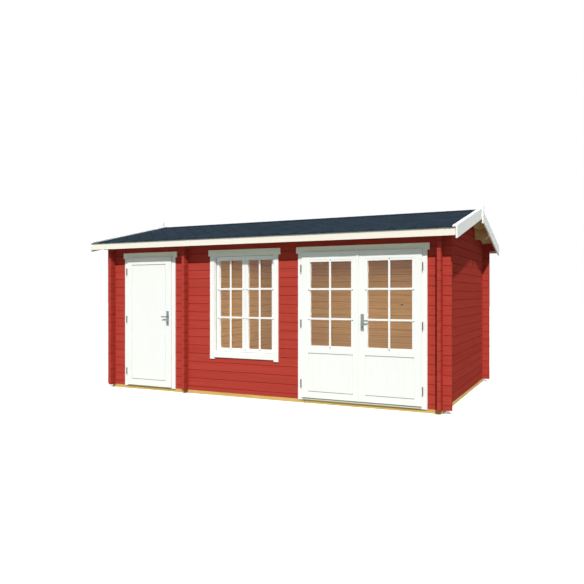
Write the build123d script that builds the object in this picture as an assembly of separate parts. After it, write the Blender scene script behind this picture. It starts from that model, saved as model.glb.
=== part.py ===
# Log cabin: a garden cabin of horizontal planed logs with interlocked corners.
# A glazed double door and a double-sash window serve the main room, and a plain single door
# serves a store room behind a log partition. The low ridge roof runs along the length.
#
# Frame: origin on the ground at the middle of the plan, X along the front, the front faces -Y, Z up.
# Units are millimetres.
from build123d import *
from math import cos, radians, tan
import os

os.makedirs("parts", exist_ok=True)

# Walls: planed logs, laid so that the long walls start with a half log and the cross walls with a full one
LENGTH = 4860.0            # over the outside faces of the gable walls
DEPTH = 2956.0             # over the outside faces of the front and back walls
LOG_THICK = 44.0
LOG_HIGH = 114.0           # cover height of one log
LOG_END = 102.0            # log end standing out past the wall that it crosses
SEAM_HALF = 4.0            # half height of the V groove where two logs meet
SEAM_DEEP = 4.0
PARTITION_X = -1102.0      # middle of the partition wall
HEAD_COURSE = 16           # long-wall seam over the doors and the window
SILL_COURSE = 4            # long-wall seam under the window
EAVE_COURSE = 18           # top of the long walls

# Foundation beams and floor
BASE_HIGH = 45.0
BASE_WIDE = 70.0
JOIST_WIDE = 45.0
JOIST_COUNT = 5            # under the main room
BASE_JOINT_X = 700.0       # butt joint in the front beam
BASE_JOINT = 3.0
FLOOR_THICK = 18.0

# Roof: heights are given on the ridge line, and every surface falls from there at ROOF_PITCH
ROOF_PITCH = 13.0
RIDGE_Z = 2506.0           # top of the roof boards on the ridge line
ROOF_BOARD = 18.0
SHINGLE = 7.0
ROOF_HALF_LENGTH = 2644.0  # outside faces of the barge boards
EAVE_Y = 1690.0            # ends of the roof boards
SHINGLE_OVERHANG = 32.0    # shingles past the ends of the roof boards
FASCIA_THICK = 18.0
FASCIA_HIGH = 100.0
FASCIA_BOTTOM = 2022.0
BARGE_THICK = 20.0
BARGE_HIGH = 126.0
BARGE_END_Y = 1728.0
RAKE_CAP_WIDE = 56.0
RAKE_CAP_THICK = 16.0
RIDGE_CAP_WIDE = 150.0     # along each slope
RIDGE_CAP_THICK = 4.0
PURLIN_WIDE = 44.0
PURLIN_HIGH = 150.0
PURLIN_Y = 745.0           # middle of the side purlins
PURLIN_CUT = 46.0          # slanted cut under each purlin end
FINIAL_WIDE = 64.0
FINIAL_THICK = 20.0
FINIAL_BOTTOM = 2322.0
FINIAL_SHOULDER = 2552.0
FINIAL_TOP = 2618.0

# Doors and window: the casing lies on the wall, the frame fills the wall opening behind it
FRAME_DEEP = 80.0
FRAME_COVER = 35.0         # wall opening to inside edge of the casing
CASING_WIDE = 68.0
CASING_THICK = 18.0
CASING_FOOT_Z = 41.0
HEAD_BOARD_Z = 1888.0
HEAD_BOARD_HIGH = 82.0
HEAD_BOARD_EAR = 27.0      # head board past the side casings
STOP = 14.0                # door stop inside the frame, behind the leaf
GAP = 6.0                  # leaf to frame, at the edges
FACE_GAP = 5.0             # leaf to casing and leaf to stop, through the thickness
LEAF_TOP = 1902.0
SINGLE_FOOT = 60.0         # bottom edge of the single door's leaf
DOUBLE_FOOT = 75.0         # bottom edge of the double door's leaves
SILL_NOSE = 25.0           # ledge below the double door, in front of the wall
SILL_NOSE_Z = (47.0, 62.0)
LIP_THICK = 12.0           # rebated edge of the leaf, lying over the casing
LIP_LAP = 10.0             # lip over the casing
LEAF_THICK = 40.0
PANEL_RECESS = 4.0
GROOVE_WIDE = 9.0          # groove round each sunk field
GROOVE_DEEP = 12.0
BEAD_RECESS = 3.0
GLASS_THICK = 4.0

SINGLE_X = (-2124.0, -1361.0)    # inside edges of the single door's casing
SINGLE_STILES = (84.0, 96.0)
SINGLE_PANEL_Z = (146.0, 1798.0)
DOUBLE_X = (679.0, 2189.0)       # inside edges of the double door's casing
DOUBLE_STILES = (90.0, 75.0)     # at the hinges, at the meeting line
BEAD_WIDE = 25.0
DOUBLE_PANEL_Z = (152.0, 638.0)
DOUBLE_GLASS_Z = (729.0, 1777.0)
COVER_STRIP = (36.0, 10.0)       # width and thickness of the strip over the meeting line

WINDOW_X = (-646.0, 259.0)       # inside edges of the window's casing
WINDOW_CASING_FOOT = 496.0
APRON_Z = (518.0, 590.0)         # board between the casing feet
SASH_SETBACK = 35.0              # sash face behind the wall face
SASH_THICK = 36.0
SASH_LAP = 8.0                   # sash behind the frame's stop
SASH_PLAY = 1.5
SASH_STILES = (53.0, 42.0)       # at the frame, at the meeting line
WINDOW_STOP = 4.5
WINDOW_CLEAR_Z = (594.0, 1886.0)
SASH_GLASS_Z = (644.0, 1827.0)
GLASS_SETBACK = 16.0

# Hinges and handles
HINGE_Z = (254.0, 1006.0, 1697.0)
HINGE_HIGH = 96.0
HINGE_RADIUS = 7.0
HINGE_OFFSET = 9.0         # pin line beside the leaf edge
HINGE_PROUD = 4.0          # pin line in front of the leaf face
HINGE_SCREW = 3.0          # radius of the threaded rods that hold a hinge
SCREW_INSET = 12.0         # rods to the ends of a knuckle
LOCK_Z = 1055.0
PLATE_WIDE = 40.0
PLATE_CORNER = 6.0
PLATE_Z = (932.0, 1135.0)
PLATE_THICK = 8.0
SINGLE_LOCK_X = -1409.0
DOUBLE_LOCK_X = 1476.0
LEVER_REACH = 34.0         # middle of the grip in front of the plate
LEVER_LONG = 74.0          # spindle to the middle of the rounded tip
LEVER_RADIUS = 9.0
SPINDLE_HOLE = 11.0

# Heights and planes that follow from the driving dimensions
SLOPE = tan(radians(ROOF_PITCH))
STEEP = 1 / cos(radians(ROOF_PITCH))
FRONT = -DEPTH / 2
GABLE = LENGTH / 2
LONG_SEAM = BASE_HIGH + LOG_HIGH / 2
CROSS_SEAM = BASE_HIGH
HEAD_Z = LONG_SEAM + HEAD_COURSE * LOG_HIGH
SILL_Z = LONG_SEAM + SILL_COURSE * LOG_HIGH
EAVE_Z = LONG_SEAM + EAVE_COURSE * LOG_HIGH
ROOF_UNDER = RIDGE_Z - ROOF_BOARD * STEEP
SHINGLE_TOP = RIDGE_Z + SHINGLE * STEEP
LEAF_FACE = FRONT - CASING_THICK - FACE_GAP - LIP_THICK
LEAF_BACK = LEAF_FACE + LEAF_THICK
FRAME_STOP = LEAF_BACK + FACE_GAP
FLOOR_TOP = BASE_HIGH + FLOOR_THICK


def block(x, y, z):
    """A box between two corners, each direction given as (low, high)."""
    size = [high - low for low, high in (x, y, z)]
    middle = [(high + low) / 2 for low, high in (x, y, z)]
    return Pos(*middle) * Box(*size)


def prism_x(points, x):
    """A prism along X with its outline given as (y, z) points."""
    outline = make_face(Polyline(*points, close=True))
    return extrude(Plane.YZ.offset(x[0]) * outline, amount=x[1] - x[0])


def prism_y(points, y):
    """A prism along Y with its outline given as (x, z) points."""
    outline = make_face(Polyline(*points, close=True))
    return extrude(Plane.XZ.offset(-y[1]) * outline, amount=y[1] - y[0])


def rod_y(x, z, y, radius):
    """A round bar along Y."""
    return Pos(x, (y[0] + y[1]) / 2, z) * Rot(90, 0, 0) * Cylinder(radius, y[1] - y[0])


def rod_z(x, y, z, radius):
    """A round bar along Z."""
    return Pos(x, y, (z[0] + z[1]) / 2) * Cylinder(radius, z[1] - z[0])


def save(name, shape):
    export_step(shape, f"parts/{name}.step")


def log_face(z, first_seam):
    """One face of a stack of logs from bottom to top, as (depth of the surface, height) points."""
    points = []
    seam = first_seam
    while seam < z[0] - 0.01:
        seam += LOG_HIGH
    if seam > z[0] + 0.01:
        points.append((0.0, z[0]))
    while seam < z[1] + 0.01:
        points.append((0.0, seam - SEAM_HALF))
        points.append((SEAM_DEEP, seam))
        points.append((0.0, seam + SEAM_HALF))
        seam += LOG_HIGH
    if points[0][1] < z[0]:
        points.pop(0)
    if points[-1][1] > z[1]:
        points.pop()
    else:
        points.append((0.0, z[1]))
    return points


def log_outline(across, z, first_seam):
    """The cross-section of a stack of logs, grooved along every seam on both faces."""
    face = log_face(z, first_seam)
    near = [(across[0] + deep, height) for deep, height in face]
    far = [(across[1] - deep, height) for deep, height in reversed(face)]
    return near + far


def notches(along, across, z, first_slot, lengthwise):
    """The gaps left at a crossing for the logs of the other wall, each half a log high."""
    slots = []
    low = first_slot
    while low < z[1]:
        if low + LOG_HIGH / 2 > z[0]:
            height = (low, low + LOG_HIGH / 2)
            slots.append(block(along, across, height) if lengthwise else block(across, along, height))
        low += LOG_HIGH
    return slots


def long_wall(x, y, z):
    """Logs along X between heights z, notched wherever a cross wall passes through."""
    wall = prism_x(log_outline(y, z, LONG_SEAM), x)
    for middle in CROSS_WALLS:
        crossing = (middle - LOG_THICK / 2, middle + LOG_THICK / 2)
        if x[0] < crossing[0] and crossing[1] < x[1]:
            slots = notches(crossing, y, z, BASE_HIGH + LOG_HIGH / 4, True)
            wall = wall.cut(*slots)
    return wall


def under_roof(shape):
    """The part of a shape that is below the roof boards."""
    reach = BARGE_END_Y
    outline = [(-reach, 0), (reach, 0), (reach, ROOF_UNDER - SLOPE * reach), (0, ROOF_UNDER),
               (-reach, ROOF_UNDER - SLOPE * reach)]
    return shape & prism_x(outline, (-ROOF_HALF_LENGTH, ROOF_HALF_LENGTH))


def eave_log(y):
    """The top log of a long wall carried on under the roof to the barge boards at both ends."""
    outline = log_outline(y, (EAVE_Z - LOG_HIGH, EAVE_Z), LONG_SEAM)
    start = GABLE + LOG_END
    end = ROOF_HALF_LENGTH - BARGE_THICK
    return [prism_x(outline, (-end, -start)), prism_x(outline, (start, end))]


def cross_wall(middle):
    """Logs along Y from past the front wall to past the back wall, up to the roof boards."""
    x = (middle - LOG_THICK / 2, middle + LOG_THICK / 2)
    y = (FRONT - LOG_END, -FRONT + LOG_END)
    z = (BASE_HIGH, ROOF_UNDER)
    wall = prism_y(log_outline(x, z, CROSS_SEAM), y)
    for side in (-1, 1):
        crossing = sorted((side * FRONT, side * (FRONT + LOG_THICK)))
        slots = notches(crossing, x, (BASE_HIGH, EAVE_Z), BASE_HIGH - LOG_HIGH / 4, False)
        wall = wall.cut(*slots)
    wall = under_roof(wall)
    for y_middle in (-PURLIN_Y, 0, PURLIN_Y):
        wall = wall - purlin(y_middle)
    return wall


def purlin(y_middle):
    """A roof beam along X: bevelled to the roof on top, with a slanted cut under each end."""
    end = ROOF_HALF_LENGTH - BARGE_THICK
    top = ROOF_UNDER - SLOPE * max(abs(y_middle) - PURLIN_WIDE / 2, 0)
    bottom = top - PURLIN_HIGH
    outline = [(-end, top), (-end, bottom + PURLIN_CUT), (-end + PURLIN_CUT, bottom),
               (end - PURLIN_CUT, bottom), (end, bottom + PURLIN_CUT), (end, top)]
    return under_roof(prism_y(outline, (y_middle - PURLIN_WIDE / 2, y_middle + PURLIN_WIDE / 2)))


def roof_sheet(side, ridge_z, thick, eave_y, x):
    """One slope of a layer of the roof, its top on ridge_z at the ridge line."""
    drop = thick * STEEP
    outline = [(0, ridge_z - drop), (0, ridge_z), (side * eave_y, ridge_z - SLOPE * eave_y),
               (side * eave_y, ridge_z - SLOPE * eave_y - drop)]
    return prism_x(outline, x)


def roof_chevron(ridge_z, thick, eave_y, x):
    """Both slopes of a layer of the roof in one piece."""
    return roof_sheet(-1, ridge_z, thick, eave_y, x) + roof_sheet(1, ridge_z, thick, eave_y, x)


# Middles of the walls that run from front to back
CROSS_WALLS = (-GABLE + LOG_THICK / 2, PARTITION_X, GABLE - LOG_THICK / 2)


def make_foundation():
    y_front = (FRONT, FRONT + BASE_WIDE)
    y_back = (-FRONT - BASE_WIDE, -FRONT)
    z = (0, BASE_HIGH)
    save("foundation_long_beams", Compound(children=[
        block((-GABLE, BASE_JOINT_X - BASE_JOINT / 2), y_front, z),
        block((BASE_JOINT_X + BASE_JOINT / 2, GABLE), y_front, z),
        block((-GABLE, GABLE), y_back, z)]))
    y = (y_front[1], y_back[0])
    beams = [block((-GABLE, -GABLE + BASE_WIDE), y, z), block((GABLE - BASE_WIDE, GABLE), y, z),
             block((PARTITION_X - BASE_WIDE / 2, PARTITION_X + BASE_WIDE / 2), y, z)]
    bays = JOIST_COUNT + 1
    spacing = (GABLE - PARTITION_X) / bays
    joists = [PARTITION_X + spacing * step for step in range(1, bays)]
    joists += [(PARTITION_X - GABLE) / 2]
    for middle in joists:
        beams.append(block((middle - JOIST_WIDE / 2, middle + JOIST_WIDE / 2), y, z))
    save("foundation_cross_beams", Compound(children=beams))


def make_floors():
    y = (FRONT + LOG_THICK, -FRONT - LOG_THICK)
    z = (BASE_HIGH, FLOOR_TOP)
    store = block((-GABLE + LOG_THICK, PARTITION_X - LOG_THICK / 2), y, z)
    main = block((PARTITION_X + LOG_THICK / 2, GABLE - LOG_THICK), y, z)
    save("store_room_floor", store - frame_hole(SINGLE_X))
    save("main_room_floor", main - frame_hole(DOUBLE_X))


def make_walls():
    front = (FRONT, FRONT + LOG_THICK)
    back = (-FRONT - LOG_THICK, -FRONT)
    end = GABLE + LOG_END
    single = (SINGLE_X[0] - FRAME_COVER, SINGLE_X[1] + FRAME_COVER)
    window = (WINDOW_X[0] - FRAME_COVER, WINDOW_X[1] + FRAME_COVER)
    double = (DOUBLE_X[0] - FRAME_COVER, DOUBLE_X[1] + FRAME_COVER)
    save("front_wall_left_pier", long_wall((-end, single[0]), front, (BASE_HIGH, HEAD_Z)))
    save("front_wall_below_window", long_wall((single[1], double[0]), front, (BASE_HIGH, SILL_Z)))
    save("front_wall_partition_pier", long_wall((single[1], window[0]), front, (SILL_Z, HEAD_Z)))
    save("front_wall_middle_pier", long_wall((window[1], double[0]), front, (SILL_Z, HEAD_Z)))
    save("front_wall_right_pier", long_wall((double[1], end), front, (BASE_HIGH, HEAD_Z)))
    top = long_wall((-end, end), front, (HEAD_Z, EAVE_Z)).fuse(*eave_log(front))
    save("front_wall_top", under_roof(top))
    whole = long_wall((-end, end), back, (BASE_HIGH, EAVE_Z)).fuse(*eave_log(back))
    save("back_wall", under_roof(whole))
    save("left_gable_wall", cross_wall(CROSS_WALLS[0]))
    save("partition_wall", cross_wall(CROSS_WALLS[1]))
    save("right_gable_wall", cross_wall(CROSS_WALLS[2]))


def make_roof():
    inside = (-ROOF_HALF_LENGTH + BARGE_THICK, ROOF_HALF_LENGTH - BARGE_THICK)
    save("ridge_purlin", purlin(0))
    save("side_purlins", Compound(children=[purlin(-PURLIN_Y), purlin(PURLIN_Y)]))
    for name, side in (("front", -1), ("back", 1)):
        save(f"{name}_roof_boards", roof_sheet(side, RIDGE_Z, ROOF_BOARD, EAVE_Y, inside))
        save(f"{name}_shingles",
             roof_sheet(side, SHINGLE_TOP, SHINGLE, EAVE_Y + SHINGLE_OVERHANG, inside))
        save(f"{name}_barge_boards", Compound(children=[barge_board(side, end) for end in (-1, 1)]))
    cap_inside = ROOF_HALF_LENGTH - RAKE_CAP_WIDE
    save("ridge_cap", roof_chevron(SHINGLE_TOP + RIDGE_CAP_THICK * STEEP, RIDGE_CAP_THICK,
                                   RIDGE_CAP_WIDE, (-cap_inside, cap_inside)))
    rake_top = SHINGLE_TOP + RAKE_CAP_THICK * STEEP
    save("rake_caps", Compound(children=[
        roof_chevron(rake_top, RAKE_CAP_THICK, BARGE_END_Y, sorted((end * cap_inside,
                                                                 end * ROOF_HALF_LENGTH)))
        for end in (-1, 1)]))
    fascia_z = (FASCIA_BOTTOM, FASCIA_BOTTOM + FASCIA_HIGH)
    save("eave_fascias", Compound(children=[
        block(inside, sorted((side * EAVE_Y, side * (EAVE_Y + FASCIA_THICK))), fascia_z)
        & below_shingles() for side in (-1, 1)]))
    save("finials", Compound(children=[finial(end) for end in (-1, 1)]))


def below_shingles():
    """Everything under the shingles, so that the fascia is bevelled against them."""
    reach = BARGE_END_Y
    outline = [(-reach, 0), (reach, 0), (reach, RIDGE_Z - SLOPE * reach), (0, RIDGE_Z),
               (-reach, RIDGE_Z - SLOPE * reach)]
    return prism_x(outline, (-ROOF_HALF_LENGTH, ROOF_HALF_LENGTH))


def barge_board(side, end):
    """One sloping board on a gable, from the ridge line to past the eave, with upright ends."""
    eave_top = SHINGLE_TOP - SLOPE * BARGE_END_Y
    outline = [(0, SHINGLE_TOP), (side * BARGE_END_Y, eave_top),
               (side * BARGE_END_Y, eave_top - BARGE_HIGH), (0, SHINGLE_TOP - BARGE_HIGH)]
    return prism_x(outline, sorted((end * (ROOF_HALF_LENGTH - BARGE_THICK), end * ROOF_HALF_LENGTH)))


def finial(end):
    """The upright pointed board that covers the joint of two barge boards."""
    half = FINIAL_WIDE / 2
    outline = [(-half, FINIAL_BOTTOM), (half, FINIAL_BOTTOM), (half, FINIAL_SHOULDER),
               (0, FINIAL_TOP), (-half, FINIAL_SHOULDER)]
    return prism_x(outline, sorted((end * ROOF_HALF_LENGTH, end * (ROOF_HALF_LENGTH + FINIAL_THICK))))


def frame_hole(inside):
    """The space in the wall and floor that a door frame fills."""
    return block((inside[0] - FRAME_COVER, inside[1] + FRAME_COVER), (FRONT, FRONT + FRAME_DEEP),
                 (BASE_HIGH, HEAD_Z))


def door_frame(inside, leaf_foot):
    """Jambs, head and threshold in the wall opening, rebated for the leaf."""
    frame = frame_hole(inside)
    rebate_z = (leaf_foot + LIP_LAP, LEAF_TOP - LIP_LAP)
    rebate = block(inside, (FRONT - 1, FRAME_STOP), rebate_z)
    clear = block((inside[0] + STOP, inside[1] - STOP), (FRONT - 1, FRONT + FRAME_DEEP + 1),
                  (rebate_z[0], rebate_z[1] - STOP))
    return frame - rebate - clear


def casing(inside, foot):
    """Side boards under an overhanging head board, on the outside of the wall."""
    y = (FRONT - CASING_THICK, FRONT)
    left = block((inside[0] - CASING_WIDE, inside[0]), y, (foot, HEAD_BOARD_Z))
    right = block((inside[1], inside[1] + CASING_WIDE), y, (foot, HEAD_BOARD_Z))
    reach = CASING_WIDE + HEAD_BOARD_EAR
    head = block((inside[0] - reach, inside[1] + reach), y,
                 (HEAD_BOARD_Z, HEAD_BOARD_Z + HEAD_BOARD_HIGH))
    return left + right + head


def leaf_blank(x, foot, laps):
    """A door leaf with a rebated lip at the top, the bottom and the sides named in laps."""
    lip = LIP_LAP + GAP
    body_x = (x[0] + lip * laps[0], x[1] - lip * laps[1])
    body = block(body_x, (LEAF_FACE, LEAF_BACK), (foot + lip, LEAF_TOP - lip))
    face = block(x, (LEAF_FACE, LEAF_FACE + LIP_THICK), (foot, LEAF_TOP))
    return body + face


def recess(x, z):
    """The sunk fields of a panel, one on each face of the leaf, with a deeper groove round each."""
    outer = block(x, (LEAF_FACE - 1, LEAF_FACE + PANEL_RECESS), z)
    inner = block(x, (LEAF_BACK - PANEL_RECESS, LEAF_BACK + 1), z)
    field_x = (x[0] + GROOVE_WIDE, x[1] - GROOVE_WIDE)
    field_z = (z[0] + GROOVE_WIDE, z[1] - GROOVE_WIDE)
    field = block(field_x, (LEAF_FACE - 2, LEAF_BACK + 2), field_z)
    outer_groove = block(x, (LEAF_FACE - 1, LEAF_FACE + GROOVE_DEEP), z) - field
    inner_groove = block(x, (LEAF_BACK - GROOVE_DEEP, LEAF_BACK + 1), z) - field
    return [outer, inner, outer_groove, inner_groove]


def spindle_hole(x):
    return rod_y(x, LOCK_Z, (LEAF_FACE - 1, LEAF_BACK + 1), SPINDLE_HOLE)


def hinge_line(edge, hand):
    """The pin line of a leaf whose hinged edge is at edge; hand is -1 on the left, 1 on the right."""
    return edge + hand * HINGE_OFFSET, LEAF_FACE - HINGE_PROUD


def rod_between(start, end, radius):
    """A round bar from one point to another."""
    along = Vector(*end) - Vector(*start)
    middle = (Vector(*start) + Vector(*end)) / 2
    return Plane(origin=middle, z_dir=along) * Cylinder(radius, along.length)


def screw_heights(z):
    """Where the two threaded rods of a knuckle sit."""
    return z[0] + SCREW_INSET, z[1] - SCREW_INSET


def frame_hinges(edge, hand):
    """Lower knuckles with their pins, held in the casing by threaded rods."""
    x, y = hinge_line(edge, hand)
    pieces = []
    for middle in HINGE_Z:
        height = (middle - HINGE_HIGH / 2, middle - 1)
        pin = rod_z(x, y, (middle - 1, middle + HINGE_HIGH / 4), HINGE_RADIUS / 2)
        piece = rod_z(x, y, height, HINGE_RADIUS) + pin
        for z in screw_heights(height):
            piece = piece + rod_y(x, z, (y, FRONT - CASING_THICK), HINGE_SCREW)
        pieces.append(piece)
    return pieces


def leaf_hinges(edge, hand):
    """Upper knuckles, held in the edge of the leaf by slanting threaded rods."""
    x, y = hinge_line(edge, hand)
    reach = HINGE_OFFSET + HINGE_SCREW
    pieces = []
    for middle in HINGE_Z:
        height = (middle + 1, middle + HINGE_HIGH / 2)
        piece = rod_z(x, y, height, HINGE_RADIUS)
        for z in screw_heights(height):
            piece = piece + rod_between((x, y, z), (x - hand * reach, y + reach, z), HINGE_SCREW)
        leaf = block(sorted((edge, edge - hand * reach)), (LEAF_FACE - 1, LEAF_FACE + LEAF_THICK), height)
        bore = rod_z(x, y, (middle, middle + HINGE_HIGH / 4 + 1), HINGE_RADIUS / 2 + 0.5)
        pieces.append(piece - leaf - bore)
    return pieces


def lock_plates(x):
    """The long plates behind the levers, outside and inside."""
    x_range = (x - PLATE_WIDE / 2, x + PLATE_WIDE / 2)
    plates = []
    for y in ((LEAF_FACE - PLATE_THICK, LEAF_FACE), (LEAF_BACK, LEAF_BACK + PLATE_THICK)):
        plate = block(x_range, y, PLATE_Z)
        plate = fillet(plate.edges().filter_by(Axis.Y), PLATE_CORNER)
        plates.append(plate - lock_bore(x))
    return Compound(children=plates)


def lock_bore(x):
    reach = PLATE_THICK + 1
    return rod_y(x, LOCK_Z, (LEAF_FACE - reach, LEAF_BACK + reach), LEVER_RADIUS + 1)


def lever(x, hand):
    """Both levers on their spindle; hand is the way that the grips point."""
    outer_y = LEAF_FACE - PLATE_THICK - LEVER_REACH
    inner_y = LEAF_BACK + PLATE_THICK + LEVER_REACH
    shape = rod_y(x, LOCK_Z, (outer_y, inner_y), LEVER_RADIUS)
    for y in (outer_y, inner_y):
        bend = (x, y, LOCK_Z)
        tip = (x + hand * LEVER_LONG, y, LOCK_Z)
        shape = shape + rod_between(bend, tip, LEVER_RADIUS)
        shape = shape + Pos(*bend) * Sphere(LEVER_RADIUS) + Pos(*tip) * Sphere(LEVER_RADIUS)
    return shape


def make_single_door():
    leaf_x = (SINGLE_X[0] - LIP_LAP, SINGLE_X[1] + LIP_LAP)
    save("single_door_frame", door_frame(SINGLE_X, SINGLE_FOOT))
    save("single_door_casing", casing(SINGLE_X, CASING_FOOT_Z))
    field_x = (leaf_x[0] + SINGLE_STILES[0], leaf_x[1] - SINGLE_STILES[1])
    leaf = leaf_blank(leaf_x, SINGLE_FOOT, (1, 1)).cut(*recess(field_x, SINGLE_PANEL_Z))
    save("single_door_leaf", leaf - spindle_hole(SINGLE_LOCK_X))
    save("single_door_leaf_hinges", Compound(children=leaf_hinges(leaf_x[0], -1)))
    save("single_door_lock_plates", lock_plates(SINGLE_LOCK_X))
    save("single_door_lever", lever(SINGLE_LOCK_X, -1))
    return frame_hinges(leaf_x[0], -1)


def glazed_leaf(x, laps):
    """A leaf with a glass above a boarded panel; laps names the hinged side with a 1."""
    hinged, meeting = DOUBLE_STILES
    field_x = (x[0] + (hinged if laps[0] else meeting), x[1] - (hinged if laps[1] else meeting))
    glass_x = (field_x[0] + BEAD_WIDE, field_x[1] - BEAD_WIDE)
    bead_z = (DOUBLE_GLASS_Z[0] - BEAD_WIDE, DOUBLE_GLASS_Z[1] + BEAD_WIDE)
    leaf = leaf_blank(x, DOUBLE_FOOT, laps).cut(*recess(field_x, DOUBLE_PANEL_Z))
    leaf = leaf - block(field_x, (LEAF_FACE - 1, LEAF_FACE + BEAD_RECESS), bead_z)
    leaf = leaf - block(glass_x, (LEAF_FACE - 1, LEAF_BACK + 1), DOUBLE_GLASS_Z)
    glass_y = (LEAF_FACE + GLASS_SETBACK, LEAF_FACE + GLASS_SETBACK + GLASS_THICK)
    return leaf, block(glass_x, glass_y, DOUBLE_GLASS_Z)


def make_double_door():
    nose = block(DOUBLE_X, (FRONT - SILL_NOSE, FRONT), SILL_NOSE_Z)
    save("double_door_frame", door_frame(DOUBLE_X, DOUBLE_FOOT) + nose)
    save("double_door_casing", casing(DOUBLE_X, CASING_FOOT_Z))
    middle = sum(DOUBLE_X) / 2
    left_x = (DOUBLE_X[0] - LIP_LAP, middle - GAP / 2)
    right_x = (middle + GAP / 2, DOUBLE_X[1] + LIP_LAP)
    left, left_glass = glazed_leaf(left_x, (1, 0))
    right, right_glass = glazed_leaf(right_x, (0, 1))
    strip = block((left_x[1] - COVER_STRIP[0], left_x[1]), (LEAF_FACE - COVER_STRIP[1], LEAF_FACE),
                  (DOUBLE_FOOT, LEAF_TOP))
    save("double_door_left_leaf", left)
    save("double_door_left_glass", left_glass)
    save("double_door_cover_strip", strip)
    save("double_door_left_hinges", Compound(children=leaf_hinges(left_x[0], -1)))
    save("double_door_right_leaf", right - spindle_hole(DOUBLE_LOCK_X))
    save("double_door_right_glass", right_glass)
    save("double_door_right_hinges", Compound(children=leaf_hinges(right_x[1], 1)))
    save("double_door_lock_plates", lock_plates(DOUBLE_LOCK_X))
    save("double_door_lever", lever(DOUBLE_LOCK_X, 1))
    return frame_hinges(left_x[0], -1) + frame_hinges(right_x[1], 1)


def make_window():
    opening = (WINDOW_X[0] - FRAME_COVER, WINDOW_X[1] + FRAME_COVER)
    clear_x = (WINDOW_X[0] + WINDOW_STOP, WINDOW_X[1] - WINDOW_STOP)
    rebate_x = (clear_x[0] - SASH_LAP, clear_x[1] + SASH_LAP)
    rebate_z = (WINDOW_CLEAR_Z[0] - SASH_LAP, WINDOW_CLEAR_Z[1] + SASH_LAP)
    sash_face = FRONT + SASH_SETBACK
    frame = block(opening, (FRONT, FRONT + FRAME_DEEP), (SILL_Z, HEAD_Z))
    frame = frame - block(clear_x, (FRONT - 1, FRONT + FRAME_DEEP + 1), WINDOW_CLEAR_Z)
    frame = frame - block(rebate_x, (sash_face, FRONT + FRAME_DEEP + 1), rebate_z)
    save("window_frame", frame)
    apron = block(WINDOW_X, (FRONT - CASING_THICK, FRONT), APRON_Z)
    save("window_casing", casing(WINDOW_X, WINDOW_CASING_FOOT) + apron)
    middle = sum(rebate_x) / 2
    sashes = []
    panes = []
    outer, meeting = SASH_STILES
    for ends, stiles in (((rebate_x[0], middle), (outer, meeting)), ((middle, rebate_x[1]), (meeting, outer))):
        x = (ends[0] + SASH_PLAY, ends[1] - SASH_PLAY)
        glass_x = (x[0] + stiles[0], x[1] - stiles[1])
        z = (rebate_z[0] + SASH_PLAY, rebate_z[1] - SASH_PLAY)
        sash = block(x, (sash_face, sash_face + SASH_THICK), z)
        sashes.append(sash - block(glass_x, (sash_face - 1, sash_face + SASH_THICK + 1), SASH_GLASS_Z))
        glass_y = (sash_face + GLASS_SETBACK, sash_face + GLASS_SETBACK + GLASS_THICK)
        panes.append(block(glass_x, glass_y, SASH_GLASS_Z))
    save("window_sashes", Compound(children=sashes))
    save("window_glass", Compound(children=panes))


make_foundation()
make_floors()
make_walls()
make_roof()
make_window()
hinges_on_frames = make_single_door() + make_double_door()
save("frame_hinges", Compound(children=hinges_on_frames))
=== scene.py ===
"""Log cabin: finishes, boards, roof covering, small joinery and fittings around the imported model."""
import math
import random

import bmesh
import bpy
from mathutils import Matrix, Vector


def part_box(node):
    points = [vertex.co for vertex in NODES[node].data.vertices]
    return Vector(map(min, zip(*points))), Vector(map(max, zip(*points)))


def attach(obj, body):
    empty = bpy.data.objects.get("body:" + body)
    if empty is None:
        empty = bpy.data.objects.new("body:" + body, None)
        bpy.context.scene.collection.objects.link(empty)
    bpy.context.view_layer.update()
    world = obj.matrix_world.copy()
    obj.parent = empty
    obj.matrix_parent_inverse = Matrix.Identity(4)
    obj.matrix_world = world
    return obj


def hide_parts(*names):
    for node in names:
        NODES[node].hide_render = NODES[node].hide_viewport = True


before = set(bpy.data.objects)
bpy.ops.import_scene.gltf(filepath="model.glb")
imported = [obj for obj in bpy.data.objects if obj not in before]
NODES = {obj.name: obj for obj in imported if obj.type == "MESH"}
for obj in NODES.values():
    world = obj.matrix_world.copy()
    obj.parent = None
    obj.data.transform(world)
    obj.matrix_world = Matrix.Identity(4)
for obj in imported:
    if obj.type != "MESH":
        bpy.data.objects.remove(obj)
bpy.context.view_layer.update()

AXIS = {"X": 0, "Y": 1, "Z": 2}

# Walls, in metres
LOG_HIGH = 0.114
LONG_SEAM = 0.102              # height of one seam of the long walls
CROSS_SEAM = 0.045             # height of one seam of the gables and the partition
LONG_MIDDLE = 1.456            # middle of the front and back walls, from the plan's centre
GABLE_MIDDLE = 2.408
PARTITION_MIDDLE = 1.102
SEAM_SHADE = 0.0055            # how far the painted shade reaches from each seam
# how far the painted shade reaches from each seam on the bare pine inside
SEAM_SHADE_INSIDE = 0.005

# Grain and growth rings
SOFT_STREAKS = 30              # streaks to the metre across the grain
HAIRLINES = 240
TRUNK_RINGS = 120.0            # radians of ring to the metre, on wood cut lengthwise
SAWN_RINGS = 1900.0            # the same on a sawn end
KNOT_SHARE = 0.85              # how many of the possible knots are there
BEAM_JOINT = 0.7               # where two beams meet end to end below the front wall

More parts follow.
